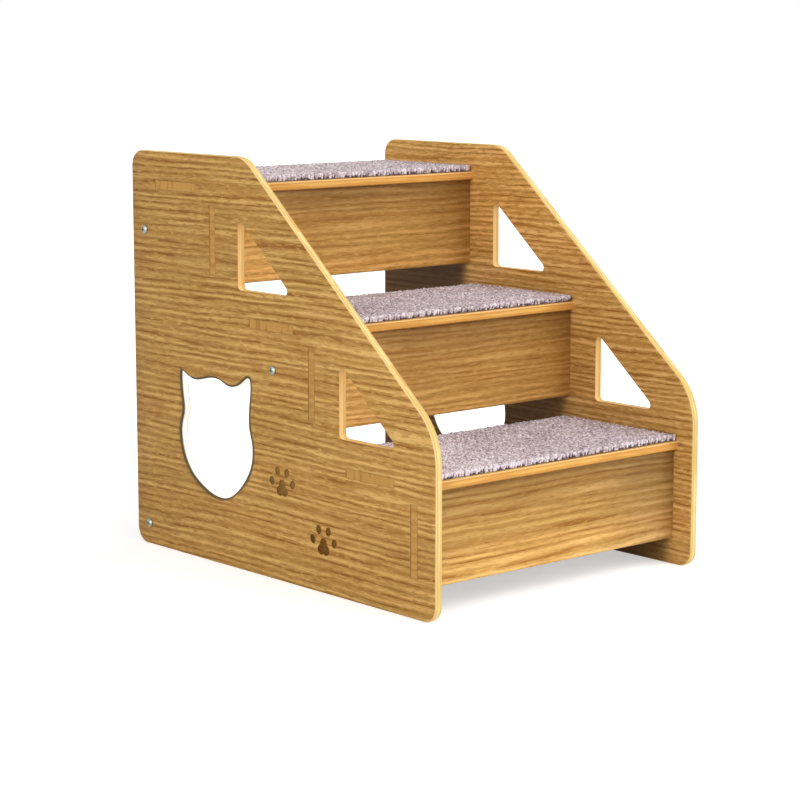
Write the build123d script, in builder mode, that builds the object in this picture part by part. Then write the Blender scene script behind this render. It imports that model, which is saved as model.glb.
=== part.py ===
from build123d import *
import math
import os

# Three-step pet stairs, flat-packed from plywood: two side panels carry three treads and
# three risers on through tenons, and three round tie rods are screwed between the panels.
# Millimetres. X runs across the stairs, the climbing side faces -Y, and Z is up.
# The origin is on the floor, under the middle of the stairs.

# Overall sizes
overall_width = 300.0
overall_depth = 400.0
overall_height = 350.0
board = 8.0                     # plywood thickness of every wooden board

# Side panel outline
slope_top_from_back = 161.0     # where the sloping edge would meet the top edge
slope_foot_height = 148.0       # where the sloping edge would meet the front edge
corner_radius = 14.0            # the three square corners
brow_radius = 32.0              # top edge into slope
nose_radius = 55.0              # slope into front edge
panel_round_over = 2.0          # rounded edges all round the outline, on both faces

# Steps: their rises are equal
step_count = 3
top_tread_drop = 25.0           # panel tops to the top of the top tread
tread_nose = 4.0                # tread runs past the face of its riser
bottom_tread_depth = 135.0
middle_tread_depth = 128.0
tread_round_over = 1.8          # front edges, above and below
top_tread_inset = 5.5           # top tread stops short of the back edges
bottom_riser_setback = 21.0     # front edges to the face of the bottom riser
lower_run = 125.5               # bottom riser to middle riser
upper_run = 132.0               # middle riser to top riser
riser_height = 77.0
riser_ease = 0.8
tenon_length = 58.5             # along the board, at each end of every tread and riser
joint_gap = 0.15                # round a tenon in its mortise
tenon_behind_nose = 31.5        # front of the tread to the front of its tenon

# Windows: right triangles with their slanted side along the slope
window_leg = 61.5
window_ahead_of_riser = 31.0    # riser face to the window's upright side
window_above_tread = 22.5
window_corner_radius = 4.0
opening_round_over = 1.0        # rounded edges round the windows and the cat head

# Cat-head opening, its outline in shares of the face width, from the centre of the face:
# the first number runs forwards and the second upwards
cat_from_back = 118.9
cat_height = 108.0
cat_width = 100.6
cat_tip_radius = 1.2            # rounds the tip of each ear
cat_forehead_shares = (
    (-0.484, 0.545), (-0.409, 0.512), (-0.355, 0.491), (-0.301, 0.482), (-0.229, 0.487), (-0.150, 0.506),
    (-0.069, 0.520), (0.020, 0.522), (0.085, 0.508), (0.141, 0.486), (0.190, 0.476), (0.253, 0.480),
    (0.315, 0.501), (0.375, 0.537), (0.420, 0.566), (0.478, 0.567),
)
cat_face_shares = (
    (0.478, 0.567), (0.485, 0.469), (0.469, 0.352), (0.460, 0.246), (0.466, 0.142), (0.495, 0.051),
    (0.506, -0.045), (0.489, -0.149), (0.429, -0.264), (0.324, -0.381), (0.197, -0.468), (0.122, -0.492),
    (0.051, -0.498), (-0.055, -0.485), (-0.215, -0.424), (-0.364, -0.324), (-0.459, -0.188),
    (-0.499, -0.052), (-0.494, 0.084), (-0.461, 0.185), (-0.473, 0.320), (-0.487, 0.449), (-0.484, 0.545),
)

# Paw prints, burnt a little way into the outer faces
paw_depth = 0.8
paw_size = 28.0                 # across the outer toes
paw_places = ((210.6, 80.0), (264.2, 39.5))     # pad centres: from the back, height
paw_toe_length_share = 0.255
paw_toe_width_share = 0.215
paw_toe_shares = ((-0.485, 0.145), (-0.215, 0.460), (0.215, 0.460), (0.485, 0.145))
paw_toe_leans = (22, 12, -12, -22)              # degrees
paw_pad_radius_share = 0.145
paw_pad_lobe_shares = ((0.0, 0.09), (-0.11, -0.11), (0.11, -0.11))

# Tie rods between the side panels
rod_diameter = 20.0
rod_ease = 1.0
rear_rod_inset = 19.0           # rear rods, from the back edges
lower_rod_height = 19.0
upper_rod_drop = 69.0           # panel tops to the upper rod
middle_rod_behind_nose = 58.5   # front of the middle tread to the middle rod
middle_rod_drop = 40.2          # top of the middle tread to the middle rod

# Pan-head wood screws through the panels into the rods
screw_diameter = 4.0
screw_core_diameter = 2.8
screw_length = 30.0
screw_tip_length = 4.0
screw_turns = 10
screw_head_diameter = 8.0
screw_head_height = 2.4
screw_head_rim = 0.7
screw_clearance = 0.3           # round the plain shank in the panel
screw_bite_gap = 0.05           # thread crest to the wood it has cut
recess_width = 0.9
recess_length = 4.2
recess_depth = 1.3

# Carpet pads on the treads
carpet_pile = 4.5
carpet_backing = 1.0
carpet_side_gap = 0.5           # to each side panel
carpet_edge_gap = 1.2           # to the front and back edges of the tread
backing_inset = 1.5             # backing stops short of the pile all round
carpet_ease = 1.5

rise = (overall_height - top_tread_drop) / step_count
inner_width = overall_width - 2 * board
panel_inner_x = inner_width / 2
back_y = overall_depth / 2
front_y = -overall_depth / 2
slope_angle = math.atan2(overall_height - slope_foot_height, overall_depth - slope_top_from_back)

os.makedirs("parts", exist_ok=True)


def y_from_back(distance):
    """Depth station, measured forward from the back edges of the panels."""
    return back_y - distance


def save(part, name):
    part.label = name
    export_step(part, f"parts/{name}.step")


# Steps from the bottom up: riser face, tread front and tread back, all measured from the back
step_names = ("bottom", "middle", "top")
bottom_riser_front = overall_depth - bottom_riser_setback
middle_riser_front = bottom_riser_front - lower_run
riser_fronts = (bottom_riser_front, middle_riser_front, middle_riser_front - upper_run)
tread_fronts = tuple(front + tread_nose for front in riser_fronts)
tread_backs = (tread_fronts[0] - bottom_tread_depth, tread_fronts[1] - middle_tread_depth, top_tread_inset)
tread_tops = tuple(rise * (step + 1) for step in range(step_count))
rod_places = {
    "upper_rear": (rear_rod_inset, overall_height - upper_rod_drop),
    "middle": (tread_fronts[1] - middle_rod_behind_nose, tread_tops[1] - middle_rod_drop),
    "lower_rear": (rear_rod_inset, lower_rod_height),
}


def tread_tenon_centre(step):
    return tread_fronts[step] - tenon_behind_nose - tenon_length / 2, tread_tops[step] - board / 2


def riser_tenon_centre(step):
    return riser_fronts[step] - board / 2, tread_tops[step] - board - riser_height / 2


# Panel outline, drawn flat: x is the panel's depth along world Y, and y is its height
with BuildSketch() as panel_outline:
    with BuildLine():
        Polyline(
            (back_y, 0),
            (back_y, overall_height),
            (y_from_back(slope_top_from_back), overall_height),
            (front_y, slope_foot_height),
            (front_y, 0),
            close=True,
        )
    make_face()
    corners = panel_outline.vertices()
    nose_corner = corners.group_by(Axis.Y)[1]
    brow_corner = corners.group_by(Axis.Y)[-1].sort_by(Axis.X)[:1]
    square_corners = corners.group_by(Axis.Y)[0] + corners.group_by(Axis.Y)[-1].sort_by(Axis.X)[1:]
    fillet(square_corners, corner_radius)
    fillet(panel_outline.vertices().sort_by_distance(brow_corner[0])[0], brow_radius)
    fillet(panel_outline.vertices().sort_by_distance(nose_corner[0])[0], nose_radius)


def cat_point(shares):
    forwards, up = shares
    return y_from_back(cat_from_back + forwards * cat_width), cat_height + up * cat_width


# Cat-head opening: the forehead in one curve, the ear sides and the face in another
with BuildSketch() as cat_head:
    with BuildLine():
        Spline(*[cat_point(shares) for shares in cat_forehead_shares])
        Spline(*[cat_point(shares) for shares in cat_face_shares])
    make_face()
    fillet(cat_head.vertices(), cat_tip_radius)


# One window for each of the two upper steps
def window_corner(step):
    below = step - 1
    return y_from_back(riser_fronts[step] + window_ahead_of_riser), tread_tops[below] + window_above_tread


window_base = window_leg / math.tan(slope_angle)
with BuildSketch() as windows:
    for step in range(1, step_count):
        corner_y, corner_z = window_corner(step)
        with BuildLine():
            Polyline(
                (corner_y, corner_z),
                (corner_y, corner_z + window_leg),
                (corner_y - window_base, corner_z),
                close=True,
            )
        make_face()
    fillet(windows.vertices(), window_corner_radius)

# Mortises for the treads and risers
with BuildSketch() as mortises:
    for step in range(step_count):
        tread_y, tread_z = tread_tenon_centre(step)
        with Locations((y_from_back(tread_y), tread_z)):
            Rectangle(tenon_length + 2 * joint_gap, board + 2 * joint_gap)
        riser_y, riser_z = riser_tenon_centre(step)
        with Locations((y_from_back(riser_y), riser_z)):
            Rectangle(board + 2 * joint_gap, tenon_length + 2 * joint_gap)

# Clearance holes for the screws
with BuildSketch() as screw_holes:
    with Locations([(y_from_back(depth), height) for depth, height in rod_places.values()]):
        Circle(screw_diameter / 2 + screw_clearance)

# Paw prints: four toes over a pad of three lobes
with BuildSketch() as paws:
    for paw_from_back, paw_height in paw_places:
        for (across, up), lean in zip(paw_toe_shares, paw_toe_leans):
            toe_centre = (y_from_back(paw_from_back) - across * paw_size, paw_height + up * paw_size)
            with Locations(Location(toe_centre, -lean)):
                Ellipse(paw_toe_width_share * paw_size / 2, paw_toe_length_share * paw_size / 2)
        lobes = [(y_from_back(paw_from_back) - across * paw_size, paw_height + up * paw_size)
                 for across, up in paw_pad_lobe_shares]
        with Locations(lobes):
            Circle(paw_pad_radius_share * paw_size)
        with BuildLine():
            Polyline(*lobes, close=True)
        make_face()


# Left side panel
with BuildPart() as left_side_panel:
    with BuildSketch(Plane.YZ.offset(-overall_width / 2)):
        add(panel_outline.sketch)
    extrude(amount=board)
    fillet(left_side_panel.faces().filter_by(Axis.X).edges(), panel_round_over)
    with BuildSketch(Plane.YZ.offset(-overall_width / 2)):
        add(cat_head.sketch)
        add(windows.sketch)
    extrude(amount=board, mode=Mode.SUBTRACT)
    opening_wires = [wire for face in left_side_panel.faces().filter_by(Axis.X) for wire in face.inner_wires()]
    fillet([edge for wire in opening_wires for edge in wire.edges()], opening_round_over)
    with BuildSketch(Plane.YZ.offset(-overall_width / 2)):
        add(mortises.sketch)
        add(screw_holes.sketch)
    extrude(amount=board, mode=Mode.SUBTRACT)
    with BuildSketch(Plane.YZ.offset(-overall_width / 2)):
        add(paws.sketch)
    extrude(amount=paw_depth, mode=Mode.SUBTRACT)
save(left_side_panel.part, "left_side_panel")

# Right side panel, the mirror image of the left one
with BuildPart() as right_side_panel:
    add(left_side_panel.part)
    mirror(about=Plane.YZ, mode=Mode.REPLACE)
save(right_side_panel.part, "right_side_panel")

for step, name in enumerate(step_names):
    tread_top = tread_tops[step]
    tread_front_y = y_from_back(tread_fronts[step])
    tread_back_y = y_from_back(tread_backs[step])
    tread_middle_y = (tread_front_y + tread_back_y) / 2
    this_depth = tread_back_y - tread_front_y

    # Tread with a tenon at each end
    tenon_from_back, tenon_z = tread_tenon_centre(step)
    with BuildPart() as tread:
        with BuildSketch(Plane.XY.offset(tread_top - board)):
            with Locations((0, tread_middle_y)):
                Rectangle(inner_width, this_depth)
        extrude(amount=board)
        front_edges = tread.edges().filter_by(Axis.X).group_by(Axis.Y)[0]
        fillet(front_edges, tread_round_over)
        with BuildSketch(Plane.XY.offset(tread_top - board)):
            with Locations((0, y_from_back(tenon_from_back))):
                Rectangle(overall_width, tenon_length)
        extrude(amount=board)
    save(tread.part, f"{name}_tread")

    # Riser with a tenon at each end, standing under the front of its tread
    riser_from_back, riser_z = riser_tenon_centre(step)
    with BuildPart() as riser:
        with BuildSketch(Plane.XY.offset(tread_top - board - riser_height)):
            with Locations((0, y_from_back(riser_from_back))):
                Rectangle(inner_width, board)
        extrude(amount=riser_height)
        lower_edges = riser.edges().filter_by(Axis.X).group_by(Axis.Z)[0]
        chamfer(lower_edges, riser_ease)
        with BuildSketch(Plane.XY.offset(riser_z - tenon_length / 2)):
            with Locations((0, y_from_back(riser_from_back))):
                Rectangle(overall_width, board)
        extrude(amount=tenon_length)
    save(riser.part, f"{name}_riser")

    # Carpet pad: a backing sheet and the pile on it
    pile_width = inner_width - 2 * carpet_side_gap
    pile_depth = this_depth - 2 * carpet_edge_gap
    with BuildPart() as backing:
        with BuildSketch(Plane.XY.offset(tread_top)):
            with Locations((0, tread_middle_y)):
                Rectangle(pile_width - 2 * backing_inset, pile_depth - 2 * backing_inset)
        extrude(amount=carpet_backing)
    save(backing.part, f"{name}_carpet_backing")

    with BuildPart() as carpet:
        with BuildSketch(Plane.XY.offset(tread_top + carpet_backing)):
            with Locations((0, tread_middle_y)):
                Rectangle(pile_width, pile_depth)
        extrude(amount=carpet_pile)
        fillet(carpet.faces().sort_by(Axis.Z)[-1].edges(), carpet_ease)
    save(carpet.part, f"{name}_carpet")

# Half section of a screw along X: the tip points to +X and the head's seat is at x = 0
screw_pitch = (screw_length - screw_tip_length - board) / screw_turns
thread_outline = []
for turn in range(screw_turns):
    start = board + turn * screw_pitch
    thread_outline += [
        (start, screw_core_diameter / 2),
        (start + screw_pitch / 2, screw_diameter / 2),
    ]

with BuildPart() as screw:
    with BuildSketch(Plane.XY):
        with BuildLine():
            Polyline(
                (-screw_head_height, 0),
                (screw_length, 0),
                (screw_length - screw_tip_length, screw_core_diameter / 2),
                *reversed(thread_outline),
                (board, screw_diameter / 2),
                (0, screw_diameter / 2),
                (0, screw_head_diameter / 2),
                (-screw_head_rim, screw_head_diameter / 2),
            )
            TangentArc(
                (-screw_head_height, 0),
                (-screw_head_rim, screw_head_diameter / 2),
                tangent=(0, 1),
            )
        make_face()
    revolve(axis=Axis.X)
    with BuildSketch(Plane.YZ.offset(-screw_head_height)):
        Rectangle(recess_length, recess_width)
        Rectangle(recess_width, recess_length)
    extrude(amount=recess_depth, mode=Mode.SUBTRACT)

# Tie rods with a pilot hole at each end, and the two screws of each
rod_bore_depth = screw_length - board + screw_pitch
for name, (rod_from_back, rod_height) in rod_places.items():
    rod_y = y_from_back(rod_from_back)
    with BuildPart() as rod:
        with BuildSketch(Plane.YZ.offset(-panel_inner_x)):
            with Locations((rod_y, rod_height)):
                Circle(rod_diameter / 2)
        extrude(amount=inner_width)
        chamfer(rod.edges().filter_by(GeomType.CIRCLE), rod_ease)
        with BuildSketch(Plane.YZ.offset(-panel_inner_x), Plane.YZ.offset(panel_inner_x - rod_bore_depth)):
            with Locations((rod_y, rod_height)):
                Circle(screw_diameter / 2 + screw_bite_gap)
        extrude(amount=rod_bore_depth, mode=Mode.SUBTRACT)
    save(rod.part, f"{name}_tie_rod")

    with BuildPart() as screw_pair:
        with Locations((-overall_width / 2, rod_y, rod_height)):
            add(screw.part)
        mirror(about=Plane.YZ)
    save(screw_pair.part, f"{name}_screws")
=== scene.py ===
import math
import bpy
import numpy as np
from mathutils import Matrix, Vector


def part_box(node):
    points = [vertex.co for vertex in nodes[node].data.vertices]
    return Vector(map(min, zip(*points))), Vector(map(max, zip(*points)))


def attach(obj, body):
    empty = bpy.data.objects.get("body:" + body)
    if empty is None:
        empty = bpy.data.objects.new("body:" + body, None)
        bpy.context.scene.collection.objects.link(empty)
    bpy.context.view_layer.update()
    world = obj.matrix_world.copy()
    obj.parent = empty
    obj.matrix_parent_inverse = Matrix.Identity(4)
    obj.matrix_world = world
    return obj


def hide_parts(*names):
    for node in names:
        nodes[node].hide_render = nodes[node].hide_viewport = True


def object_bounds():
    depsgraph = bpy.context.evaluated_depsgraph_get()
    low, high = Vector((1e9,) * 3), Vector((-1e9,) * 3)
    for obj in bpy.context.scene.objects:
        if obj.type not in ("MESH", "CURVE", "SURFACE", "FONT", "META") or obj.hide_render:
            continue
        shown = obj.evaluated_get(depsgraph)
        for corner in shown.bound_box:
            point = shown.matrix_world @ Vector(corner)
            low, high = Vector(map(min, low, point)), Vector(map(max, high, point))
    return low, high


# Looks for a set of pet stairs: oak-faced plywood, tufted carpet pads, zinc screws, beech tie rods.
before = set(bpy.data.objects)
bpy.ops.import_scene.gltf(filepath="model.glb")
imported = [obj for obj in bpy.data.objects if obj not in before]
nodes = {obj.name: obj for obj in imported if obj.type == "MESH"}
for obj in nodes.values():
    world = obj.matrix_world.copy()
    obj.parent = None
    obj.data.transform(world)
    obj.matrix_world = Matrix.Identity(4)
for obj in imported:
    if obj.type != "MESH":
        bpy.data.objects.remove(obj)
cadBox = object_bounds()
print("stairs loaded,", len(nodes), "parts")

mm = 0.001
stepNames = ("bottom", "middle", "top")
rodNames = ("upper_rear", "middle", "lower_rear")
panelFace = 150 * mm       # outer faces of the side panels, from the middle of the stairs


def paint(red, green, blue):
    # a colour as it looks on screen, turned into the linear colour that a shader takes
    def linear(level):
        level /= 255
        return level / 12.92 if level <= 0.04045 else ((level + 0.055) / 1.055) ** 2.4
    return (linear(red), linear(green), linear(blue), 1.0)


class Wire:
    # one output socket of a shader node; sums on it lay down Math nodes
    def __init__(self, tree, socket=None):
        self.tree = tree
        self.socket = socket

    def node(self, kind, settings=None, values=None, out=0):
        made = self.tree.nodes.new(kind)
        for name, value in (settings or {}).items():
            setattr(made, name, value)
        for name, value in (values or {}).items():
            if isinstance(value, Wire):
                self.tree.links.new(value.socket, made.inputs[name])
            else:
                made.inputs[name].default_value = value
        return Wire(self.tree, made.outputs[out]) if len(made.outputs) else None

    def math(self, operation, *values):
        return self.node("ShaderNodeMath", {"operation": operation}, dict(enumerate(values)))

    def beside(self, name):
        # another output of the same node
        return Wire(self.tree, self.socket.node.outputs[name])

    def __add__(self, other):
        return self.math("ADD", self, other)

    def __radd__(self, other):
        return self.math("ADD", other, self)

    def __sub__(self, other):
        return self.math("SUBTRACT", self, other)

    def __rsub__(self, other):
        return self.math("SUBTRACT", other, self)

    def __mul__(self, other):
        return self.math("MULTIPLY", self, other)

    def __rmul__(self, other):
        return self.math("MULTIPLY", other, self)

    def __truediv__(self, other):
        return self.math("DIVIDE", self, other)

    def __pow__(self, other):
        return self.math("POWER", self, other)

    def __abs__(self):
        return self.math("ABSOLUTE", self)


def smooth(value, low, high):
    return value.node("ShaderNodeMapRange", {"interpolation_type": "SMOOTHSTEP"},
                      {"Value": value, "From Min": low, "From Max": high})


def larger(first, second):
    return first.math("MAXIMUM", first, second)


def smaller(first, second):
    return first.math("MINIMUM", first, second)


def tint(under, over, mask, how="MIX"):
    root = next((item for item in (mask, under, over) if isinstance(item, Wire)), None)
    if root is None:
        return tuple(low + (high - low) * mask for low, high in zip(under, over))
    return root.node("ShaderNodeMix", {"data_type": "RGBA", "blend_type": how},
                     {0: mask, 6: under, 7: over}, out=2)


def cloudy(first, second, third, detail=2.0, roughness=0.5):
    # noise over three numbers that are already scaled to its cells
    root = next(item for item in (first, second, third) if isinstance(item, Wire))
    place = root.node("ShaderNodeCombineXYZ", None, {"X": first, "Y": second, "Z": third})
    return root.node("ShaderNodeTexNoise", {"noise_dimensions": "3D"},
                     {"Vector": place, "Scale": 1.0, "Detail": detail, "Roughness": roughness})


def startFinish(name):
    material = bpy.data.materials.new(name)
    material.use_nodes = True
    material.node_tree.nodes.clear()
    start = Wire(material.node_tree)
    spot = start.node("ShaderNodeTexCoord", None, None, out="Object")
    x = start.node("ShaderNodeSeparateXYZ", None, {"Vector": spot})
    return material, start, x, x.beside("Y"), x.beside("Z")


def closeFinish(start, sockets, height=None, bumpDepth=0.0002):
    if height is not None:
        sockets["Normal"] = start.node("ShaderNodeBump", None,
                                       {"Strength": 1.0, "Distance": bumpDepth, "Height": height})
    shader = start.node("ShaderNodeBsdfPrincipled", None, sockets)
    start.node("ShaderNodeOutputMaterial", None, {"Surface": shader})


def wear(name, material):
    for place in nodes[name].material_slots:
        place.material = material


# The camera, at the photograph's angle
view = {"place": (-1.3115, -1.4929, 0.4578), "tilt": 80.804, "turn": -41.042, "lens": 104.34, "sensor": 36.0}
cameraData = bpy.data.cameras.new("studioCamera")
cameraData.lens = view["lens"]
cameraData.sensor_width = view["sensor"]
camera = bpy.data.objects.new("studioCamera", cameraData)
camera.location = view["place"]
camera.rotation_euler = (math.radians(view["tilt"]), 0, math.radians(view["turn"]))
bpy.context.scene.collection.objects.link(camera)
bpy.context.scene.camera = camera

# Oak-faced plywood: colours of the veneer and of the plies that its edges show
oak = {
    "honey": paint(178, 136, 66),
    "pale": paint(222, 180, 106),
    "streak": paint(140, 87, 22),
    "pore": paint(104, 60, 14),
    "warm": paint(184, 134, 62),
    "plyLight": paint(250, 221, 150),
    "plyDark": paint(224, 190, 114),
    "lipLight": paint(240, 186, 98),
    "lipDark": paint(222, 156, 74),
    # painted highlight on the rounded edge next to the face
    "paintedEdgeHighlight": paint(246, 208, 150),
    "glue": paint(150, 108, 62),
    "seam": paint(104, 66, 26),
    "burnt": paint(138, 94, 30),
    "burntDeep": paint(86, 54, 4),
    "cream": paint(253, 250, 240),
    "rim": paint(84, 68, 38),
    "shadow": paint(82, 50, 14),
    "jambLight": paint(247, 202, 134),
    "jambDeep": paint(222, 176, 102),
    # growth lines a metre, how they waver and break off along the grain, contrast, and a cast over it all;
    # a riser also gets painted shade under its tread, painted light at its foot, painted light at its left
    # end and painted shade at its right end
    "leftFigure": {
        "rings": 158, "waver": 24, "runs": 16, "contrast": 1.12, "short": 0.50,
        "cast": (0.97, 0.95, 0.93, 1.0),
    },
    "rightFigure": {
        "rings": 185, "waver": 24, "runs": 14, "contrast": 1.05, "short": 0.55,
        "cast": (1.03, 1.01, 1.14, 1.0),
    },
    "topFigure": {
        "rings": 130, "waver": 26, "runs": 16, "contrast": 0.70, "short": 0.60,
        "cast": (1.0, 0.92, 0.88, 1.0),
        "paintedTreadShade": 0.46, "paintedFootLight": 0.75, "paintedLeftEndLight": 1.0, "paintedRightEndShade": 0.2,
    },
    "middleFigure": {
        "rings": 175, "waver": 34, "runs": 20, "contrast": 0.72, "short": 0.55,
        "cast": (0.99, 0.91, 0.89, 1.0),
        "paintedTreadShade": 0.46, "paintedFootLight": 0.42, "paintedLeftEndLight": 1.0, "paintedRightEndShade": 0.1,
    },
    "bottomFigure": {
        "rings": 135, "waver": 20, "runs": 12, "contrast": 0.95, "short": 0.28,
        "cast": (1.07, 1.04, 1.05, 1.0),
        "paintedTreadShade": 0.40, "paintedFootLight": 1.0, "paintedLeftEndLight": 0.15, "paintedRightEndShade": 1.0,
    },
    "bump": 0.00012,                         # metres
    # the rest are mm of depth into the board
    "thickness": 8,
    "veneerDepth": 0.55,
    "rearVeneer": (7.35, 7.55),
    "plyCuts": (0.55, 2.55, 5.45, 7.45),     # glue lines between the plies
    "cutBlur": 0.05,
    "glueReach": (0.16, 0.03),
}


def veneer(along, across, seed, figure):
    # growth lines that drift and sway; the dark side of each comes and goes along it,
    # with short streaks between
    contrast = figure["contrast"]
    drift = cloudy(along * 4, across * 6, seed) - 0.5
    sway = cloudy(along * 22, across * 40, seed + 3.1) - 0.5
    line = across + drift * 0.008 + sway * 0.0014
    phase = line * figure["rings"] + (cloudy(along * 3, line * 60, seed + 5.7, 0.0) - 0.5) * 2.2
    phase = phase + (cloudy(along * figure["waver"], line * 260, seed + 9.3, 1.0) - 0.5) * 0.5
    turn = phase.math("FRACT", phase)
    which = phase.math("FLOOR", phase)
    strong = cloudy(along * figure["runs"], which * 7.31, seed + 13.9, 1.0)
    calm = cloudy(along * 9, which * 3.77, seed + 19.9, 1.0)
    short = cloudy(along * 125, line * 640, seed + 15.3, 1.0)
    threads = cloudy(along * 26, line * 460, seed + 17.3, 2.0, 0.6)
    pores = cloudy(along * 110, line * 1200, seed + 21.1, 1.0)
    fibres = cloudy(along * 160, line * 3200, seed + 27.5, 1.0)
    bands = cloudy(along * 3, across * 40, seed + 31.7)
    dark = smooth(turn, 0.0, 0.09) * smooth(turn, 0.34, 0.13) * (0.14 + smooth(strong, 0.38, 0.62) * 0.98)
    light = smooth(turn, 0.34, 0.54) * smooth(turn, 0.99, 0.66) * (0.35 + smooth(calm, 0.38, 0.62) * 0.65)
    finer = smooth(threads, 0.52, 0.68)
    pits = smooth(pores, 0.60, 0.70)
    colour = tint(oak["honey"], oak["warm"], smooth(bands, 0.40, 0.62) * 0.5)
    colour = tint(colour, oak["pale"], light * (0.80 * contrast))
    colour = tint(colour, oak["streak"], dark * (0.80 * contrast))
    colour = tint(colour, oak["pale"], smooth(short, 0.47, 0.24) * (figure["short"] * contrast))
    colour = tint(colour, oak["streak"], smooth(short, 0.53, 0.78) * (figure["short"] * contrast))
    colour = tint(colour, oak["streak"], finer * (0.36 * contrast))
    colour = tint(colour, oak["pore"], pits * (0.34 * contrast))
    colour = tint(colour, oak["pale"], (fibres - 0.5) * 0.6)
    colour = tint(colour, figure["cast"], 1.0, "MULTIPLY")
    height = 1 - dark * 0.35 - finer * 0.25 - pits * 0.6 + fibres * 0.3
    return colour, height, dark


def plies(depth, along, across, seed, light, dark):
    # depth in mm through the board; the two cross plies are darker, with thin glue lines between
    cuts, blur = oak["plyCuts"], oak["cutBlur"]
    first, second, third, fourth = (smooth(depth, cut - blur, cut + blur) for cut in cuts)
    cross = first - second + third - fourth
    glue = None
    for cut in cuts:
        here = smooth(abs(depth - cut), *oak["glueReach"])
        glue = here if glue is None else larger(glue, here)
    strands = cloudy(along * 90, across * 90, depth * 2.4 + seed, 3.0, 0.6)
    dots = cloudy(along * 1300, across * 1300, depth * 1.5 + seed, 1.0)
    patches = cloudy(along * 22, across * 22, depth * 0.2 + seed, 1.0)
    colour = tint(light, dark, cross * 0.7)
    colour = tint(colour, dark, smooth(strands, 0.45, 0.7) * 0.5)
    colour = tint(colour, dark, smooth(patches, 0.42, 0.60) * 0.8)
    # painted highlight: a paler band where the edge rounds into the face
    colour = tint(colour, oak["paintedEdgeHighlight"], smooth(depth, 1.7, 1.3) * 0.7)
    colour = tint(colour, oak["glue"], smooth(dots, 0.60, 0.72) * (0.15 + cross * 0.35))
    colour = tint(colour, oak["glue"], glue * 0.55)
    return colour, strands * 0.5 - glue * 0.5 + dots * 0.3


def frameLine(first, second, centre, halves, low, high):
    # 1 on the outline of a rectangle, fading out on both sides
    edge = larger(abs(first - centre[0]) - halves[0], abs(second - centre[1]) - halves[1])
    return smooth(abs(edge), high, low)


# The joints of the boards, as they show on the side panels
joint = {
    "tenon": 58.5 * mm,
    "behindNose": 31.5 * mm,
    "seamNear": 0.15 * mm,
    "seamFar": 0.75 * mm,
    "endFrom": 149.0 * mm,       # the ends of the tenons begin here, across the stairs
    "endTo": 149.6 * mm,
    "rearLine": 0.55,
    "rearLineReach": (1.5 * mm, 0.6 * mm),
    # the sawn ends: cells of their grain over the depth and the height, how pale they are,
    # how much of the board's own veneer shows in them, and how dark the seam round them is
    "treadEnd": {"cells": (190, 40), "pale": 0.24, "veneer": 0.15, "seam": 0.14},
    "riserEnd": {"cells": (420, 420), "pale": 0.28, "veneer": 0.45, "seam": 0.22},
}


def tenonPlaces():
    # (middle along the depth, middle height, half depth, half height) of each tenon end
    places = {}
    for step in stepNames:
        low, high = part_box(step + "_tread")
        places[step + "_tread"] = (low.y + joint["behindNose"] + joint["tenon"] / 2, (low.z + high.z) / 2,
                                   joint["tenon"] / 2, (high.z - low.z) / 2)
        low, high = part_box(step + "_riser")
        places[step + "_riser"] = ((low.y + high.y) / 2, (low.z + high.z) / 2,
                                   (high.y - low.y) / 2, joint["tenon"] / 2)
    return places


def tenonEnd(colour, plain, x, y, z, own, looks):
    # the sawn ends of a board's tenons, flush with the side panels
    middleDepth, middleHeight, halfDepth, halfHeight = own
    deepCells, highCells = looks["cells"]
    end = smooth(abs(x), joint["endFrom"], joint["endTo"])
    sawn = cloudy(x * 10, y * deepCells, z * highCells, 1.0)
    ground = tint(oak["warm"], oak["pale"], looks["pale"])
    endColour = tint(ground, oak["streak"], smooth(sawn, 0.57, 0.64) * 0.45)
    endColour = tint(endColour, plain, looks["veneer"])
    seam = frameLine(y, z, (middleDepth, middleHeight), (halfDepth, halfHeight),
                     joint["seamNear"], joint["seamFar"])
    rearLine = smooth(abs(y - middleDepth - halfDepth), *joint["rearLineReach"])
    endColour = tint(endColour, oak["seam"], larger(seam * looks["seam"], rearLine * joint["rearLine"]))
    return tint(colour, endColour, end)


def seams(colour, y, z):
    # thin dark lines round the mortises
    for piece, places in tenonPlaces().items():
        seam = frameLine(y, z, places[:2], places[2:], joint["seamNear"], joint["seamFar"])
        looks = joint["treadEnd" if piece.endswith("tread") else "riserEnd"]
        colour = tint(colour, oak["seam"], seam * looks["seam"])
    return colour


# Paw prints: the same shares of their width as the cut ones
paw = {
    "size": 28 * mm,
    "places": ((210.6 * mm, 80.0 * mm), (264.2 * mm, 39.5 * mm)),   # from the back, height
    "toes": ((-0.485, 0.145, 22), (-0.215, 0.460, 12), (0.215, 0.460, -12), (0.485, 0.145, -22)),
    "toeHalves": (0.215 / 2, 0.255 / 2),
    "pad": ((0.0, 0.09), (-0.11, -0.11), (0.11, -0.11)),
    "padRadius": 0.145,
    "scorch": 0.9 * mm,          # the scorch reaches this far round the cut
    "ragged": 1.0 * mm,          # and is this uneven
    "edge": (0.25 * mm, -0.1 * mm),
    "lowerReach": (8 * mm, -8 * mm),
}


def pawDistance(across, up):
    # about how far a point lies outside the nearest toe or lobe, in shares of the print's width
    halfWide, halfLong = paw["toeHalves"]
    found = None
    for toeAcross, toeUp, lean in paw["toes"]:
        turn = math.radians(lean)
        aside, above = across - toeAcross, up - toeUp
        wide = (aside * math.cos(turn) + above * math.sin(turn)) / halfWide
        tall = (above * math.cos(turn) - aside * math.sin(turn)) / halfLong
        away = ((wide * wide + tall * tall) ** 0.5 - 1) * halfWide
        found = away if found is None else smaller(found, away)
    for lobeAcross, lobeUp in paw["pad"]:
        aside, above = across - lobeAcross, up - lobeUp
        away = (aside * aside + above * above) ** 0.5 - paw["padRadius"]
        found = smaller(found, away)
    return found


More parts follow.
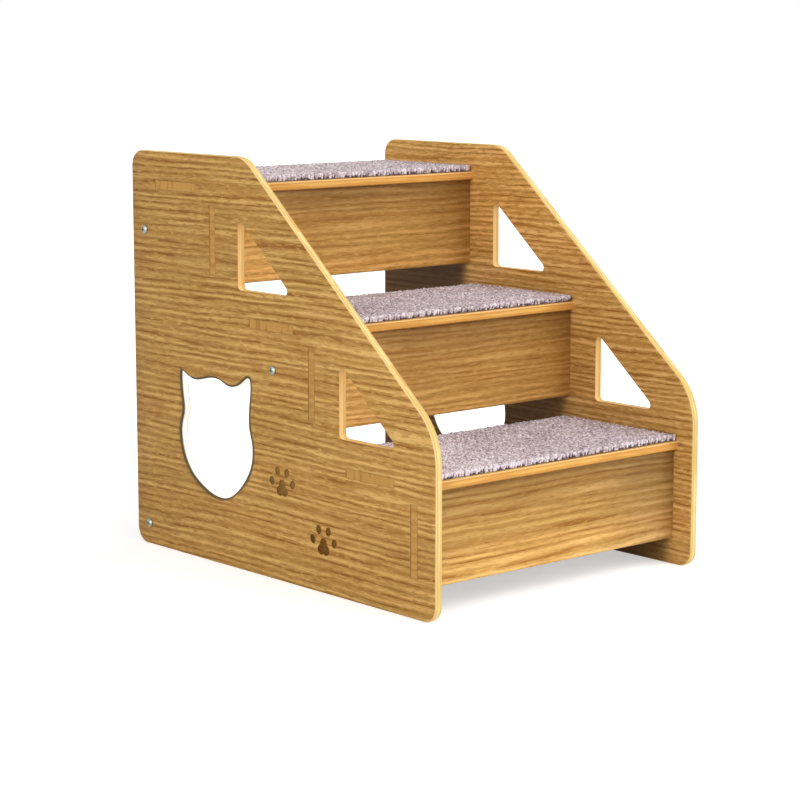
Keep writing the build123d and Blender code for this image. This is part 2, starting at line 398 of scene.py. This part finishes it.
def pawPrints(colour, roughness, depth, y, z, seed):
    # scorched round the cut and burnt down in it, the front print darker than the rear one
    backY = cadBox[1][1]
    (rearFrom, rearUp), (frontFrom, frontUp) = paw["places"]
    frontOne = y.math("LESS_THAN", y, backY - (rearFrom + frontFrom) / 2)
    pawY = (backY - rearFrom) - frontOne * (frontFrom - rearFrom)
    pawZ = rearUp - frontOne * (rearUp - frontUp)
    away = pawDistance((y - pawY) / -paw["size"], (z - pawZ) / paw["size"]) * paw["size"]
    outer = smooth(depth, 1.2, 0.9)
    mottled = cloudy(y * 300, z * 620, seed + 40, 2.0, 0.65)
    scorched = smooth(away + (mottled - 0.5) * paw["ragged"], paw["scorch"], 0.0) * outer
    burnt = smooth(away, *paw["edge"]) * outer
    lower = smooth(z - pawZ - (y - pawY) * 0.6, *paw["lowerReach"])
    deep = smooth(mottled, 0.60, 0.40) * (0.42 + frontOne * 0.25) + lower * 0.34 + frontOne * 0.15
    char = tint(oak["burnt"], oak["burntDeep"], smaller(deep, 1))
    colour = tint(colour, oak["burnt"], scorched * (0.30 + lower * 0.2 + frontOne * 0.3))
    colour = tint(colour, char, burnt * (0.90 + frontOne * 0.08))
    return colour, roughness + burnt * 0.2


# The cat-head opening, with a dark line round it and a painted shade haze beside it
catHead = {
    "fromBack": 118.9 * mm,
    "height": 108 * mm,
    "reach": 76 * mm,
    "stops": 32,                 # corners of the colour ramp that follows the outline
    "samples": 721,              # one every quarter of a degree
    "rampScale": 100,            # mm that a ramp's level of 1 stands for
    "middle": 2 * mm,            # the two sides of the outline change over within this
    # mm down the cut edge: where the dark rim has ended, and where it begins to fade
    "leftRim": (2.6, 0.9),
    "rightRim": (0.9, 0.6),
    # mm outside the outline on the face, the same two, and what is added behind and ahead
    "line": (1.4, 0.3),
    "lineBehind": 0.5,
    "lineAhead": (2.2, 1.1),
    "aheadFrom": (-30 * mm, -46 * mm),
    # painted shade haze beside the back side of the outline: its strength, and its width in mm
    "paintedShadeHaze": 0.22,
    "paintedShadeHazeWidth": 7.0,
    # how dark the rim and the line are
    "scorch": 0.92,
    # painted light: how strongly the cream edge glows
    "glow": 0.60,
}


def headOutline():
    # how far the cut's rim lies from the middle of the head at the panel's outer face:
    # degrees from straight up, and mm on the side of the front and on that of the back
    panel = nodes["left_side_panel"]
    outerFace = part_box("left_side_panel")[0].x
    headY, headZ = cadBox[1][1] - catHead["fromBack"], catHead["height"]
    corners = [panel.matrix_world @ corner.co for corner in panel.data.vertices]
    spots = np.array([(corner.y - headY, corner.z - headZ) for corner in corners
                      if abs(corner.x - outerFace) < 0.01 * mm])
    reach = np.hypot(spots[:, 0], spots[:, 1])
    rim = reach < catHead["reach"] + 1 * mm
    angle = np.degrees(np.arctan2(spots[rim, 0], spots[rim, 1]))
    degrees = np.linspace(0, 180, catHead["samples"])
    front, back = (np.interp(side * degrees, angle, reach[rim] / mm, period=360)
                   for side in (-1, 1))
    return degrees, front, back


def rampCorners(degrees, radii):
    # the angles between which straight lines follow the outline best, found one by one
    chosen = [0, len(degrees) - 1]
    while len(chosen) < catHead["stops"]:
        missed = np.abs(np.interp(degrees, degrees[chosen], radii[chosen]) - radii)
        chosen = sorted(chosen + [int(missed.argmax())])
    return [(float(degrees[index]), float(radii[index])) for index in chosen]


def headDistance(aside, up):
    # mm outside the cat head's outline, and 1 on its back side
    angle = abs(aside.math("ARCTAN2", aside, up)) / math.pi
    backwards = smooth(aside, -catHead["middle"], catHead["middle"])
    degrees, front, back = headOutline()
    scale = catHead["rampScale"]
    radius = None
    for radii in (front, back):
        ramp = angle.node("ShaderNodeValToRGB", None, {"Fac": angle})
        stops = ramp.socket.node.color_ramp.elements
        corners = rampCorners(degrees, radii)
        for degree, length in corners[1:-1]:
            stops.new(degree / 180).color = (length / scale,) * 3 + (1.0,)
        for index in (0, -1):
            stops[index].color = (corners[index][1] / scale,) * 3 + (1.0,)
        level = ramp * scale
        radius = level if radius is None else radius + backwards * (level - radius)
    return (aside * aside + up * up) ** 0.5 / mm - radius, backwards


def headEdge(colour, side, depth, inside, y, z):
    # the cut edge is sealed in cream and given a painted glow, with a dark rim at the outer face and a
    # painted shade haze beside it
    aside, up = y - (cadBox[1][1] - catHead["fromBack"]), z - catHead["height"]
    away = (aside * aside + up * up) ** 0.5
    nearHead = smooth(away, catHead["reach"] + 3 * mm, catHead["reach"] + 2 * mm)
    colour = tint(colour, oak["cream"], nearHead * inside)
    beyond, backwards = headDistance(aside, up)
    rim = smooth(depth, 0.0, 0.05) * smooth(depth, *catHead[side + "Rim"])
    ahead = smooth(aside, *catHead["aheadFrom"])
    (lineEnd, lineStart), (endAhead, startAhead) = catHead["line"], catHead["lineAhead"]
    line = smooth(beyond, lineEnd + backwards * catHead["lineBehind"] + ahead * endAhead,
                  lineStart + ahead * startAhead)
    # painted shade: a soft haze outside the outline on its back side
    paintedShadeHaze = smooth(beyond, catHead["paintedShadeHazeWidth"], 0.0) * backwards * catHead["paintedShadeHaze"]
    rim = larger(rim, larger(line, paintedShadeHaze) * smooth(depth, 1.4, 1.0))
    colour = tint(colour, oak["rim"], nearHead * rim * catHead["scorch"])
    # painted light: the cream edge glows
    glow = tint((0.0, 0.0, 0.0, 1.0), oak["cream"], nearHead * inside * (1 - rim) * catHead["glow"])
    return colour, glow


# The windows: where they lie, and how many mm from the left face of the board their edges change tone
window = {
    "aheadOfRiser": 31 * mm,
    "aboveTread": 22.5 * mm,
    "longest": 77 * mm,
    "tallest": 66 * mm,
    "margin": 3 * mm,
    "fade": 1 * mm,
    "deepFrom": (3.6, 4.6),
    "scorchFrom": (7.2, 7.9),
    "scorch": 0.5,
    "strength": 0.85,
}


def windowPlaces(y, z):
    # 1 over the two windows
    margin, fade = window["margin"], window["fade"]
    longest, tallest = window["longest"], window["tallest"]
    found = None
    for above, below in (("top", "middle"), ("middle", "bottom")):
        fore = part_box(above + "_riser")[0].y - window["aheadOfRiser"]
        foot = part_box(below + "_tread")[1].z + window["aboveTread"]
        here = smooth(y, fore + margin, fore + margin - fade)
        here = here * smooth(y, fore - longest, fore - longest + fade)
        here = here * smooth(z, foot - margin, foot - margin + fade)
        here = here * smooth(z, foot + tallest, foot + tallest - fade)
        found = here if found is None else larger(found, here)
    return found


def windowEdge(edge, side, depth, y, z):
    # two tones, the paler one on the left
    fromLeft = depth if side == "left" else oak["thickness"] - depth
    jamb = tint(oak["jambLight"], oak["jambDeep"], smooth(fromLeft, *window["deepFrom"]))
    jamb = tint(jamb, oak["rim"], smooth(fromLeft, *window["scorchFrom"]) * window["scorch"])
    return tint(edge, jamb, windowPlaces(y, z) * window["strength"])


# Painted shade under the steps, and more of it higher up
paintedShadeUnderSteps = {
    "across": (144 * mm, 142.5 * mm),
    "behindRiser": (1 * mm, 14 * mm),
    "belowTread": 3 * mm,
    "fade": 2 * mm,
    "strength": 0.56,
    "more": 0.32,
    "moreHeight": (150 * mm, 250 * mm),
}


def paintedShadeUnderStepsMask(x, y, z):
    # 1 under the steps, behind the risers, between the side panels, where the shade is painted
    fromRiser, toRiser = paintedShadeUnderSteps["behindRiser"]
    under = None
    for step in stepNames:
        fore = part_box(step + "_riser")[0].y
        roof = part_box(step + "_tread")[1].z - paintedShadeUnderSteps["belowTread"]
        here = smooth(y, fore + fromRiser, fore + toRiser) * smooth(z, roof, roof - paintedShadeUnderSteps["fade"])
        under = here if under is None else larger(under, here)
    return smooth(abs(x), *paintedShadeUnderSteps["across"]) * under


# Light and shade painted over the boards: factors, and the places between which they set in
paintedLightAndShade = {
    "front": (1.13, 1.14, 1.20, 1.0),
    "frontDepth": (0, -150 * mm),
    "frontHeight": (20 * mm, 130 * mm),
    "rear": (0.92, 0.90, 0.89, 1.0),
    "rearDepth": (20 * mm, 140 * mm),
    "rearEdge": (0.86, 0.86, 0.88, 1.0),
    "rearEdgeDepth": (172 * mm, 200 * mm),
    "upper": (1.22, 1.19, 1.16, 1.0),
    "upperHeight": (170 * mm, 310 * mm),
    "foot": 0.42,                # how much shadow
    "footHeight": (130 * mm, 20 * mm),
    "footDepth": (-190 * mm, -120 * mm),
    "riserMargin": 9 * mm,       # about how far a riser's board reaches past its tenon
    "paintedTreadShadeReach": 42 * mm,
    "paintedFootLightReach": 40 * mm,
    "paintedFootLight": (1.35, 1.38, 1.5, 1.0),
    "paintedLeftEndLight": (1.36, 1.46, 1.62, 1.0),
    "paintedLeftEndLightFrom": (-40 * mm, -115 * mm),
    "paintedRightEndShade": (0.72, 0.72, 0.82, 1.0),
    "paintedRightEndShadeFrom": (30 * mm, 130 * mm),
}


def panelPaintedLight(face, side, y, z):
    if side == "left":
        # painted light that falls off from the front edge to the back one
        front = smooth(y, *paintedLightAndShade["frontDepth"]) * smooth(z, *paintedLightAndShade["frontHeight"])
        face = tint(face, paintedLightAndShade["front"], front, "MULTIPLY")
        face = tint(face, paintedLightAndShade["rear"], smooth(y, *paintedLightAndShade["rearDepth"]), "MULTIPLY")
        return tint(face, paintedLightAndShade["rearEdge"], smooth(y, *paintedLightAndShade["rearEdgeDepth"]), "MULTIPLY")
    # painted light at the top and painted shadow at the foot
    face = tint(face, paintedLightAndShade["upper"], smooth(z, *paintedLightAndShade["upperHeight"]), "MULTIPLY")
    foot = smooth(z, *paintedLightAndShade["footHeight"]) * smooth(y, *paintedLightAndShade["footDepth"])
    return tint(face, oak["shadow"], foot * paintedLightAndShade["foot"])


def riserPaintedLight(face, x, z, own, figure):
    # painted shade under the tread, painted light at the foot, painted light at the left end and painted
    # shade at the right end
    low = own[1] - own[3] - paintedLightAndShade["riserMargin"]
    high = own[1] + own[3] + paintedLightAndShade["riserMargin"]
    paintedTreadShade = smooth(z, high - paintedLightAndShade["paintedTreadShadeReach"], high) * figure["paintedTreadShade"]
    paintedFootLight = smooth(z, low + paintedLightAndShade["paintedFootLightReach"], low) * figure["paintedFootLight"]
    atLeft = smooth(x, *paintedLightAndShade["paintedLeftEndLightFrom"]) * figure["paintedLeftEndLight"]
    atRight = smooth(x, *paintedLightAndShade["paintedRightEndShadeFrom"]) * figure["paintedRightEndShade"]
    face = tint(face, oak["shadow"], paintedTreadShade)
    face = tint(face, paintedLightAndShade["paintedFootLight"], paintedFootLight, "MULTIPLY")
    face = tint(face, paintedLightAndShade["paintedLeftEndLight"], atLeft, "MULTIPLY")
    return tint(face, paintedLightAndShade["paintedRightEndShade"], atRight, "MULTIPLY")


def boardFinish(name, thickAxis, faceAt, seed, figure, own=None, lip=None, side=None):
    # thickAxis runs through the plies; faceAt is the face that the depth is measured from;
    # lip is where a tread's front edge stands; side is given for a side panel
    material, start, x, y, z = startFinish(name)
    if thickAxis == "x":
        depth, along, across = (faceAt - abs(x)) / mm, y, z
    elif thickAxis == "y":
        depth, along, across = (y - faceAt) / mm, x, z
    else:
        depth, along, across = (faceAt - z) / mm, x, y
    plain, faceHeight, dark = veneer(along, across, seed, figure)
    face = plain
    edge, edgeHeight = plies(depth, along, across, seed, oak["lipLight" if lip else "plyLight"],
                             oak["lipDark" if lip else "plyDark"])
    inside = smooth(depth, oak["veneerDepth"] - 0.1, oak["veneerDepth"] + 0.1)
    inside = inside - smooth(depth, *oak["rearVeneer"])
    if lip:
        inside = larger(inside, smooth(y, lip + 0.4 * mm, lip + 0.1 * mm))
    if side:
        # painted light and shade over the side panel
        face = panelPaintedLight(face, side, y, z)
        edge = windowEdge(edge, side, depth, y, z)
    elif thickAxis == "y":
        # painted shade and light over the riser
        face = riserPaintedLight(face, x, z, own, figure)
    colour = tint(face, edge, inside)
    height = faceHeight * (1 - inside) + edgeHeight * inside
    roughness = 0.52 + dark * 0.08 + inside * 0.12
    sockets = {"Specular IOR Level": 0.2}
    if own is not None:
        colour = tenonEnd(colour, plain, x, y, z, own, joint["treadEnd" if lip else "riserEnd"])
    if side:
        colour = seams(colour, y, z)
        colour, roughness = pawPrints(colour, roughness, depth, y, z, seed)
        colour, glow = headEdge(colour, side, depth, inside, y, z)
        # the cream cut edge's painted glow goes in as emission
        sockets.update({"Emission Color": glow, "Emission Strength": 1.0})
    # painted shade under the steps, darker higher up
    shade = paintedShadeUnderSteps["strength"] + smooth(z, *paintedShadeUnderSteps["moreHeight"]) * paintedShadeUnderSteps["more"]
    colour = tint(colour, oak["shadow"], paintedShadeUnderStepsMask(x, y, z) * shade)
    sockets.update({"Base Color": colour, "Roughness": roughness})
    closeFinish(start, sockets, height, oak["bump"])
    return material


def dressBoards():
    places = tenonPlaces()
    for side, seed in (("left", 2.0), ("right", 31.0)):
        finish = boardFinish("oakPanel" + side.title(), "x", panelFace, seed, oak[side + "Figure"], side=side)
        wear(side + "_side_panel", finish)
    for index, step in enumerate(stepNames):
        tread, riser = step + "_tread", step + "_riser"
        figure = oak[step + "Figure"]
        low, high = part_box(tread)
        wear(tread, boardFinish("oakTread" + step.title(), "z", high.z, 50 + 7 * index, figure,
                                places[tread], lip=low.y))
        low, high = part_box(riser)
        wear(riser, boardFinish("oakRiser" + step.title(), "y", low.y, 80 + 11 * index, figure,
                                places[riser]))
    print("boards dressed")


dressBoards()

# Screws: brushed zinc, with painted shade down in the cross and round the rim of the head
screw = {
    "bright": paint(158, 162, 152),
    "shade": paint(92, 96, 84),
    "rim": (3.2 * mm, 4.0 * mm),       # the edge of the head, from its middle
    "crossReach": (2.3 * mm, 2.1 * mm),
    "crossDepth": (1.5, 1.1),          # mm above the panel
}


def dressScrews():
    for name in rodNames:
        low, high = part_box(name + "_screws")
        middleY, middleZ = (low.y + high.y) / 2, (low.z + high.z) / 2
        material, start, x, y, z = startFinish("zincScrew" + name.title().replace("_", ""))
        aside, up = y - middleY, z - middleZ
        outwards = (aside * aside + up * up) ** 0.5
        crowned = (abs(x) - panelFace) / mm
        deep = smooth(crowned, *screw["crossDepth"]) * smooth(outwards, *screw["crossReach"])
        rim = smooth(outwards, *screw["rim"])
        brushed = cloudy(x * 300, aside * 2600, up * 2600, 2.0)
        # painted shade in the cross and round the head's rim
        colour = tint(screw["bright"], screw["shade"], larger(deep * 0.9, rim * 0.55))
        colour = tint(colour, screw["shade"], smooth(brushed, 0.5, 0.75) * 0.3)
        sockets = {"Base Color": colour, "Metallic": 1.0, "Roughness": 0.26 + brushed * 0.16}
        closeFinish(start, sockets, brushed, 0.00003)
        wear(name + "_screws", material)
    print("screws dressed")


dressScrews()

# Tie rods: turned beech with short flecks
beech = {"wood": paint(216, 176, 128), "fleck": paint(176, 128, 84), "late": paint(204, 158, 106)}


def dressRods():
    for index, name in enumerate(rodNames):
        material, start, x, y, z = startFinish("beechRod" + name.title().replace("_", ""))
        rings = cloudy(x * 6, y * 260, z * 260 + index * 9, 2.0)
        flecks = cloudy(x * 380, y * 1900, z * 1900 + index * 5, 1.0)
        colour = tint(beech["wood"], beech["late"], smooth(rings, 0.42, 0.62))
        colour = tint(colour, beech["fleck"], smooth(flecks, 0.60, 0.72) * 0.7)
        grain = 1 - smooth(flecks, 0.6, 0.75)
        closeFinish(start, {"Base Color": colour, "Roughness": 0.55 + rings * 0.1}, grain, 0.00006)
        wear(name + "_tie_rod", material)
    print("tie rods dressed")


dressRods()

# Carpet pads: tufts of mauve-grey yarn on a dark tufting cloth, over a rubber backing sheet
carpet = {
    "pitch": 3.0 * mm,
    "tuftRadius": 1.85 * mm,
    "tuftSides": 6,
    "tuftStages": ((0.60, 0.0), (1.0, 0.58), (0.78, 0.86)),    # shares of width and height
    "clothBottom": 0.9 * mm,     # above the tread
    "clothTop": 3.1 * mm,
    "clothInset": 0.8 * mm,
    "clothCells": (94, 42),
    "clothWobble": 0.4 * mm,
    "backingWobble": 0.3 * mm,
    "rootAbove": 0.3 * mm,       # the tufts begin this far above the underside of the cloth
    "scatter": 0.22,             # of the pitch
    "lean": 0.45 * mm,
    "leanDepth": -0.15 * mm,     # the tufts lean to the front a little
    "frontDrop": 0.75 * mm,      # how much lower the front row hangs
    "overhang": 0.4 * mm,
    # the band at the front where painted shade sits at the foot of the tufts
    "paintedFrontFootShade": (3.5 * mm, 2.5 * mm),
    # painted light on the yarn towards the left end of each tread
    "paintedLightAcross": (40 * mm, -140 * mm),     # between these places across the tread the yarn gets paler
    "dark": paint(146, 128, 136),
    "middle": paint(200, 182, 185),
    "light": paint(246, 234, 240),
    # the root colour darkens the yarn low in the pile as painted shade
    "root": paint(156, 138, 146),
    # painted shade colour at the foot of the front row
    "paintedFootShade": paint(98, 80, 88),
    "backing": paint(96, 76, 80),
    "paintedYarnLight": {"bottom": 0.5, "middle": 0.1, "top": 0.2},      # how much paler at the left end
}


def slab(low, high, cells, wobble, random):
    # a thin closed sheet on a grid, its rim a little uneven
    across, deep = cells
    u, v = np.meshgrid(np.linspace(0, 1, across + 1), np.linspace(0, 1, deep + 1), indexing="ij")
    rim = (u == 0) | (u == 1) | (v == 0) | (v == 1)
    shift = random.uniform(-wobble, wobble, u.shape) * rim
    centreX, centreY = (low[0] + high[0]) / 2, (low[1] + high[1]) / 2
    px = low[0] + u * (high[0] - low[0])
    py = low[1] + v * (high[1] - low[1])
    px = px - np.sign(px - centreX) * np.abs(shift)
    py = py - np.sign(py - centreY) * np.abs(shift)
    layer = np.stack([px.ravel(), py.ravel()], 1)
    bottom = np.column_stack([layer, np.full(len(layer), low[2])])
    top = np.column_stack([layer, np.full(len(layer), high[2])])
    points = np.concatenate([bottom, top])
    number = np.arange((across + 1) * (deep + 1)).reshape(across + 1, deep + 1)
    a, b = number[:-1, :-1].ravel(), number[1:, :-1].ravel()
    c, d = number[1:, 1:].ravel(), number[:-1, 1:].ravel()
    count = number.size
    faces = np.concatenate([np.stack([a, d, c, b], 1), np.stack([a, b, c, d], 1) + count])
    loop = np.concatenate([number[:-1, 0], number[-1, :-1], number[:0:-1, -1], number[0, :0:-1]])
    after = np.roll(loop, -1)
    walls = np.stack([loop, after, after + count, loop + count], 1)
    return points, np.concatenate([faces, walls])


def tufts(low, high, floor, random):
    # (points, quads, triangles, tone of each point, height share of each point)
    pitch, sides = carpet["pitch"], carpet["tuftSides"]
    rows = int((high[1] - low[1]) / (pitch * 0.87))
    columns = int((high[0] - low[0]) / pitch)
    rowStep = (high[1] - low[1] - 0.84 * pitch) / (rows - 1)
    columnStep = (high[0] - low[0] - 1.34 * pitch) / (columns - 1)
    row, column = np.meshgrid(np.arange(rows), np.arange(columns), indexing="ij")
    x = low[0] + pitch * 0.42 + (column + 0.5 * (row % 2)) * columnStep
    y = low[1] + pitch * 0.42 + row * rowStep
    x, y = x.ravel(), y.ravel()
    count = len(x)
    x = x + random.uniform(-carpet["scatter"], carpet["scatter"], count) * pitch
    y = y + random.uniform(-carpet["scatter"], carpet["scatter"], count) * pitch
    radius = carpet["tuftRadius"] * random.uniform(0.86, 1.12, count)
    tall = (high[2] - floor) * random.uniform(0.92, 1.10, count)
    leanX = random.normal(0, carpet["lean"], count)
    leanY = random.normal(carpet["leanDepth"], carpet["lean"], count)
    spin = random.uniform(0, 2 * math.pi, count)
    tone = random.normal(0.5, 0.15, count).clip(0, 1)
    # the front row hangs lower, with painted shade here and there at its foot
    frontRow = y < low[1] + pitch
    paintedFootShade = (random.uniform(0, 1, count) < 0.5) * random.uniform(0.5, 1.0, count)
    # paler tufts in the front row: painted highlight along the front edge
    tone = np.where(frontRow, random.uniform(0.42, 0.9, count), tone)
    lowered = np.where(frontRow, carpet["frontDrop"], 0.0)
    stages = carpet["tuftStages"]
    points, heights = [], []
    for share, up in stages:
        for side in range(sides):
            angle = spin + 2 * math.pi * side / sides + up * 0.8
            wide = radius * share * random.uniform(0.88, 1.12, count)
            above = floor - lowered * (1 - up) + tall * up * random.uniform(0.96, 1.04, count)
            points.append(np.stack([x + leanX * up + wide * np.cos(angle),
                                    y + leanY * up + wide * np.sin(angle), above], 1))
            heights.append(np.where(frontRow, (1 - paintedFootShade) * 0.6 + (0.4 + paintedFootShade * 0.6) * up, up))
    points.append(np.stack([x + leanX, y + leanY, floor + tall], 1))
    heights.append(np.ones(count))
    points = np.stack(points, 1)
    heights = np.stack(heights, 1)
    each = points.shape[1]
    points[..., 0] = points[..., 0].clip(low[0], high[0])
    points[..., 1] = points[..., 1].clip(low[1] - carpet["overhang"], high[1] + carpet["overhang"])
    first = (np.arange(count) * each)[:, None]
    quads, tips = [], []
    for level in range(len(stages) - 1):
        for side in range(sides):
            after = (side + 1) % sides
            a, b = level * sides + side, level * sides + after
            quads.append(first + np.array([[a, b, b + sides, a + sides]]))
    last = (len(stages) - 1) * sides
    for side in range(sides):
        tips.append(first + np.array([[last + side, last + (side + 1) % sides, len(stages) * sides]]))
    return (points.reshape(-1, 3), np.concatenate(quads), np.concatenate(tips),
            np.repeat(tone, each), heights.ravel())


def makePiece(name, points, faces, material):
    mesh = bpy.data.meshes.new(name)
    mesh.from_pydata(points.tolist(), [], faces)
    mesh.materials.append(material)
    mesh.update()
    piece = bpy.data.objects.new(name, mesh)
    bpy.context.scene.collection.objects.link(piece)
    return piece


def yarnFinish(step, shade, fore):
    material, start, x, y, z = startFinish("mauveYarn" + step.title())
    tone = start.node("ShaderNodeAttribute", {"attribute_name": "tuftTone"}, None, out="Fac")
    tall = start.node("ShaderNodeAttribute", {"attribute_name": "tuftHeight"}, None, out="Fac")
    patches = cloudy(x * 45, y * 45, shade, 2.0)
    hairs = cloudy(x * 2600, y * 2600, z * 900, 2.0)
    # painted light: the yarn paler towards the left end
    paintedYarnLight = smooth(x, *carpet["paintedLightAcross"]) * carpet["paintedYarnLight"][step]
    flecks = cloudy(x * 430, y * 430, z * 600 + shade, 1.0)
    level = tone + (flecks - 0.5) * 2.0 + (patches - 0.5) * 0.5 + (hairs - 0.5) * 0.4 + paintedYarnLight
    colour = tint(carpet["dark"], carpet["middle"], smooth(level, 0.05, 0.5))
    colour = tint(colour, carpet["light"], smooth(level, 0.55, 1.0))
    # painted shade down in the pile: each tuft darker towards its root
    colour = tint(carpet["root"], colour, smooth(tall, 0.0, 0.6))
    # painted shade at the foot of the front row
    footFrom, footTo = carpet["paintedFrontFootShade"]
    paintedFrontFootShade = smooth(tall, 0.42, 0.22) * smooth(y, fore + footFrom, fore + footTo)
    colour = tint(colour, carpet["paintedFootShade"], paintedFrontFootShade)
    closeFinish(start, {"Base Color": colour, "Roughness": 0.95, "Sheen Weight": 0.25, "Sheen Roughness": 0.5,
                        "Specular IOR Level": 0.2}, hairs, 0.0003)
    return material


def rubberFinish():
    material, start, x, y, z = startFinish("rubberBacking")
    weave = smooth(abs(cloudy(x * 900, y * 60, 1.0) - 0.5), 0.0, 0.2)
    colour = tint(carpet["backing"], carpet["root"], weave)
    closeFinish(start, {"Base Color": colour, "Roughness": 0.9}, weave, 0.0002)
    return material


def layCarpets():
    rubber = rubberFinish()
    for index, step in enumerate(stepNames):
        random = np.random.default_rng(70 + index)
        low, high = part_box(step + "_carpet")
        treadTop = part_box(step + "_carpet_backing")[0].z
        inset, clothFloor = carpet["clothInset"], treadTop + carpet["clothBottom"]
        clothLow = (low.x + inset, low.y + inset, clothFloor)
        clothHigh = (high.x - inset, high.y - inset, treadTop + carpet["clothTop"])
        clothPoints, clothFaces = slab(clothLow, clothHigh, carpet["clothCells"],
                                       carpet["clothWobble"], random)
        points, quads, tips, tone, tall = tufts(low, high, clothFloor + carpet["rootAbove"], random)
        offset = len(clothPoints)
        faces = clothFaces.tolist() + (quads + offset).tolist() + (tips + offset).tolist()
        pile = makePiece(step + "CarpetPile", np.concatenate([clothPoints, points]), faces,
                         yarnFinish(step, 4.0 + index, low.y))
        for name, values in (("tuftTone", tone), ("tuftHeight", tall)):
            layer = pile.data.attributes.new(name, "FLOAT", "POINT")
            everywhere = np.concatenate([np.zeros(offset), values]).astype(np.float32)
            layer.data.foreach_set("value", everywhere)
        pile.data.shade_smooth()
        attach(pile, "root")
        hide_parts(step + "_carpet")
        low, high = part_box(step + "_carpet_backing")
        sheetTop = (high.x, high.y, high.z - 0.05 * mm)
        sheetPoints, sheetFaces = slab(low, sheetTop, carpet["clothCells"],
                                       carpet["backingWobble"], random)
        backing = makePiece(step + "CarpetBacking", sheetPoints, sheetFaces.tolist(), rubber)
        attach(backing, "root")
        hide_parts(step + "_carpet_backing")
        perTuft = len(carpet["tuftStages"]) * carpet["tuftSides"] + 1
        print(step, "carpet laid,", len(tone) // perTuft, "tufts")


layCarpets()

# The studio: a white floor and soft light from above, in front and the left
studio = {
    "floorHalf": 12.0,
    "white": (1.0, 1.0, 1.0, 1.0),
    "floor": (0.86, 0.86, 0.86, 1.0),
    "floorGlow": 0.50,
    "sky": 0.16,
    "keyFrom": (0.5, -0.9, 0.5), "keyPower": 1.75, "keyAngle": 50,
    "sideFrom": (-1.0, -0.25, 0.35), "sidePower": 1.45, "sideAngle": 40,
    "topFrom": (-0.2, -0.45, 1.0), "topPower": 0.95, "topAngle": 60,
    "rearFrom": (1.0, 0.25, 0.45), "rearPower": 0.65, "rearAngle": 50,
}


def raySeen(start):
    # 1 for rays from the camera and for mirror and glass rays
    camera = start.node("ShaderNodeLightPath", None, None, out="Is Camera Ray")
    return larger(larger(camera, camera.beside("Is Glossy Ray")), camera.beside("Is Transmission Ray"))


def makeStudio():
    half = studio["floorHalf"]
    mesh = bpy.data.meshes.new("studioFloor")
    corners = [(-half, -half, 0), (half, -half, 0), (half, half, 0), (-half, half, 0)]
    mesh.from_pydata(corners, [], [(0, 1, 2, 3)])
    floor = bpy.data.objects.new("studioFloor", mesh)
    bpy.context.scene.collection.objects.link(floor)
    material, start, x, y, z = startFinish("studioFloor")
    seen = raySeen(start)
    matt = start.node("ShaderNodeBsdfDiffuse", None, {"Color": studio["floor"]})
    glow = start.node("ShaderNodeEmission", None,
                      {"Color": studio["white"], "Strength": seen * studio["floorGlow"]})
    both = start.node("ShaderNodeAddShader", None, {0: matt, 1: glow})
    start.node("ShaderNodeOutputMaterial", None, {"Surface": both})
    mesh.materials.append(material)
    world = bpy.data.worlds.new("studioSky")
    bpy.context.scene.world = world
    world.use_nodes = True
    world.node_tree.nodes.clear()
    start = Wire(world.node_tree)
    seen = raySeen(start)
    sky = start.node("ShaderNodeBackground", None,
                     {"Color": studio["white"], "Strength": studio["sky"] + seen * (1 - studio["sky"])})
    start.node("ShaderNodeOutputWorld", None, {"Surface": sky})
    for name in ("key", "side", "top", "rear"):
        lamp = bpy.data.lights.new(name + "Lamp", "SUN")
        lamp.energy = studio[name + "Power"]
        lamp.angle = math.radians(studio[name + "Angle"])
        holder = bpy.data.objects.new(name + "Lamp", lamp)
        holder.rotation_euler = Vector(studio[name + "From"]).to_track_quat("Z", "Y").to_euler()
        bpy.context.scene.collection.objects.link(holder)
    bpy.context.scene.view_settings.view_transform = "Standard"
    print("studio lit")


makeStudio()
